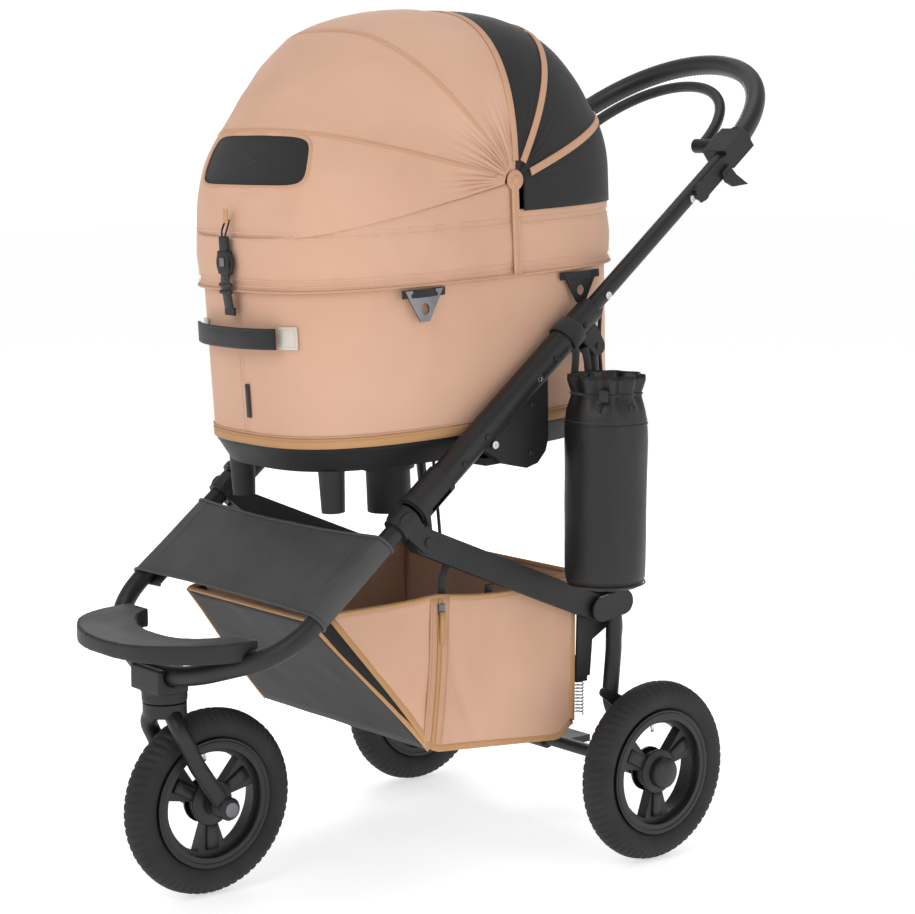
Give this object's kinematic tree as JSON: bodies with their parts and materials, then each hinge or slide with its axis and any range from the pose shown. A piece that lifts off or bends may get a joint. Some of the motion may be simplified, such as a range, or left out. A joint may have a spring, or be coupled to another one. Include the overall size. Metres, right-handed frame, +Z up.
{
  "type": "pet stroller",
  "caption": "Folding three-wheeled pet stroller with lift-off oval cot, hooped canopy with mesh, hand brake bar, under-basket, step and side bag.",
  "frame": {"origin": "on the ground under the middle of the whole stroller, side bag included", "axes": "+Z up, -Y forwards in the direction of travel, +X to the stroller's left"},
  "size_m": [0.615, 1.0596, 1.1325],
  "materials": {
    "frame_metal": "fine matte black powder coat",
    "black_plastic": "matte moulded black",
    "chrome": "bright chrome",
    "steel": "zinc-plated steel",
    "tyre": "black rubber with slanted grooves",
    "rim_plastic": "matte black moulded rim",
    "grip": "black stitched leather-look grip",
    "peach_fabric": "peach polyester weave",
    "mesh": "black open mesh",
    "black_fabric": "dark woven polyester",
    "grey_webbing": "black ribbed webbing",
    "bag_leather": "black leather-look",
    "mat": "soft beige mat",
    "satin_metal": "satin nickel"
  },
  "bodies": {
    "chassis": {"upper_tube_left": "frame_metal", "upper_tube_right": "frame_metal", "handle_tube": "frame_metal", "handle_grip": "grip", "handle_brackets": "black_plastic", "strut_brackets": "black_plastic", "side_plates": "black_plastic", "beam_left": "black_plastic", "beam_right": "black_plastic", "struts": "frame_metal", "rear_brackets": "black_plastic", "rear_leg_left": "frame_metal", "rear_leg_right": "frame_metal", "cross_tube": "frame_metal", "rear_axle": "frame_metal", "cot_carrier": "black_plastic", "rivets": "black_plastic", "chrome_screws": "chrome", "basket": "peach_fabric", "brake_cables": "black_plastic", "brake_springs": "chrome"},
    "front_frame": {"front_tube": "frame_metal", "lower_brackets": "black_plastic", "footplate": "black_plastic", "apron": "black_fabric", "caster_housing": "black_plastic"},
    "caster": {"fork": "frame_metal", "front_axle": "steel"},
    "front_wheel": {"front_tyre": "tyre", "front_rim": "rim_plastic"},
    "rear_wheel_left": {"rear_tyre_left": "tyre", "rear_rim_left": "rim_plastic"},
    "rear_wheel_right": {"rear_tyre_right": "tyre", "rear_rim_right": "rim_plastic"},
    "collar_left": {"lock_collar_left": "black_plastic"},
    "collar_right": {"lock_collar_right": "black_plastic"},
    "brake_lever": {"brake_bar": "frame_metal"},
    "parking_catch": {"brake_catch": "black_plastic"},
    "brake_left": {"brake_arm_left": "black_plastic"},
    "brake_right": {"brake_arm_right": "black_plastic"},
    "pedal": {"foot_pedal": "black_plastic"},
    "zip_slider": {"basket_zip_pull": "satin_metal"},
    "bag": {"bottle_bag": "bag_leather"},
    "cot": {"cot_wall": "peach_fabric", "cot_tray": "black_plastic", "floor_mat": "mat", "canopy_skirt": "peach_fabric", "canopy_top": "peach_fabric", "top_hoop": "black_plastic", "canopy_rear": "mesh", "rear_hoop": "black_plastic", "grab_strap": "grey_webbing"},
    "canopy_mid_section": {"canopy_mid": "peach_fabric", "mid_hoop": "black_plastic"},
    "canopy_front_section": {"canopy_front": "peach_fabric", "front_hoop": "black_plastic"},
    "ring_front_left": {"d_ring_front_left": "satin_metal"},
    "ring_front_right": {"d_ring_front_right": "satin_metal"},
    "ring_rear_left": {"d_ring_rear_left": "satin_metal"},
    "ring_rear_right": {"d_ring_rear_right": "satin_metal"}
  },
  "joints": [
    {"name": "front_fold", "type": "hinge", "parent": "chassis", "child": "front_frame", "pos_m": [-0.0185, -0.17994, 0.46566], "axis": [1, 0, 0], "range_deg": [0, 58], "deforming": ["basket"]},
    {"name": "caster_swivel", "type": "hinge", "parent": "front_frame", "child": "caster", "pos_m": [-0.0185, -0.43785, 0.263], "axis": [0, 0, 1], "continuous": true},
    {"name": "front_wheel_spin", "type": "hinge", "parent": "caster", "child": "front_wheel", "pos_m": [-0.0185, -0.37585, 0.122], "axis": [1, 0, 0], "continuous": true},
    {"name": "rear_wheel_left_spin", "type": "hinge", "parent": "chassis", "child": "rear_wheel_left", "pos_m": [0.2395, 0.17015, 0.122], "axis": [1, 0, 0], "continuous": true},
    {"name": "rear_wheel_right_spin", "type": "hinge", "parent": "chassis", "child": "rear_wheel_right", "pos_m": [-0.2765, 0.17015, 0.122], "axis": [1, 0, 0], "continuous": true},
    {"name": "collar_left_release", "type": "slide", "parent": "chassis", "child": "collar_left", "axis": [0, 0.7793, 0.6266], "range_m": [0, 0.022], "stiffness_N_per_m": 300, "springref_m": -0.01},
    {"name": "collar_right_release", "type": "slide", "parent": "chassis", "child": "collar_right", "axis": [0, 0.7793, 0.6266], "range_m": [0, 0.022], "stiffness_N_per_m": 300, "springref_m": -0.01},
    {"name": "brake_squeeze", "type": "hinge", "parent": "chassis", "child": "brake_lever", "pos_m": [-0.0185, 0.36856, 0.95645], "axis": [1, 0, 0], "range_deg": [0, 20], "stiffness_Nm_per_rad": 2, "springref_deg": -5.73},
    {"name": "parking_catch_turn", "type": "hinge", "parent": "chassis", "child": "parking_catch", "pos_m": [0.1985, 0.33757, 0.91999], "axis": [1, 0, 0], "range_deg": [0, 30]},
    {"name": "brake_left_pull", "type": "hinge", "parent": "chassis", "child": "brake_left", "pos_m": [0.207, 0.13715, 0.214], "axis": [1, 0, 0], "range_deg": [0, 10]},
    {"name": "brake_right_pull", "type": "hinge", "parent": "chassis", "child": "brake_right", "pos_m": [-0.244, 0.13715, 0.214], "axis": [1, 0, 0], "range_deg": [0, 10]},
    {"name": "pedal_press", "type": "hinge", "parent": "chassis", "child": "pedal", "pos_m": [-0.0185, 0.17015, 0.122], "axis": [-1, 0, 0], "range_deg": [0, 20], "stiffness_Nm_per_rad": 1.5, "springref_deg": -5.73},
    {"name": "basket_zip_slide", "type": "slide", "parent": "chassis", "child": "zip_slider", "axis": [0, 0, 1], "range_m": [-0.14, 0]},
    {"name": "bag_swing", "type": "hinge", "parent": "chassis", "child": "bag", "pos_m": [0.2045, 0.06515, 0.696], "axis": [0, -1, 0], "range_deg": [0, 30]},
    {"name": "cot_lift", "type": "slide", "parent": "chassis", "child": "cot", "axis": [0, -0.0495, 0.9988], "range_m": [0, 0.3]},
    {"name": "canopy_mid_fold", "type": "hinge", "parent": "cot", "child": "canopy_mid_section", "pos_m": [-0.0185, -0.0157, 0.91379], "axis": [-1, 0, 0], "range_deg": [0, 34]},
    {"name": "canopy_front_fold", "type": "hinge", "parent": "canopy_mid_section", "child": "canopy_front_section", "pos_m": [-0.0185, -0.0157, 0.91379], "axis": [-1, 0, 0], "range_deg": [0, 34]},
    {"name": "ring_front_left_swing", "type": "hinge", "parent": "cot", "child": "ring_front_left", "pos_m": [0.16037, -0.16222, 0.77937], "axis": [0, -0.9988, -0.0495], "range_deg": [0, 75]},
    {"name": "ring_front_right_swing", "type": "hinge", "parent": "cot", "child": "ring_front_right", "pos_m": [-0.19737, -0.16222, 0.77937], "axis": [0, 0.9988, 0.0495], "range_deg": [0, 75]},
    {"name": "ring_rear_left_swing", "type": "hinge", "parent": "cot", "child": "ring_rear_left", "pos_m": [0.15791, 0.10346, 0.79255], "axis": [0, -0.9988, -0.0495], "range_deg": [0, 3]},
    {"name": "ring_rear_right_swing", "type": "hinge", "parent": "cot", "child": "ring_rear_right", "pos_m": [-0.19491, 0.10346, 0.79255], "axis": [0, 0.9988, 0.0495], "range_deg": [0, 3]}
  ],
  "couplings": [
    {"joint": "brake_left_pull", "follows": "brake_squeeze", "ratio": 0.5},
    {"joint": "brake_right_pull", "follows": "brake_squeeze", "ratio": 0.5},
    {"joint": "canopy_front_fold", "follows": "canopy_mid_fold", "ratio": 1}
  ]
}
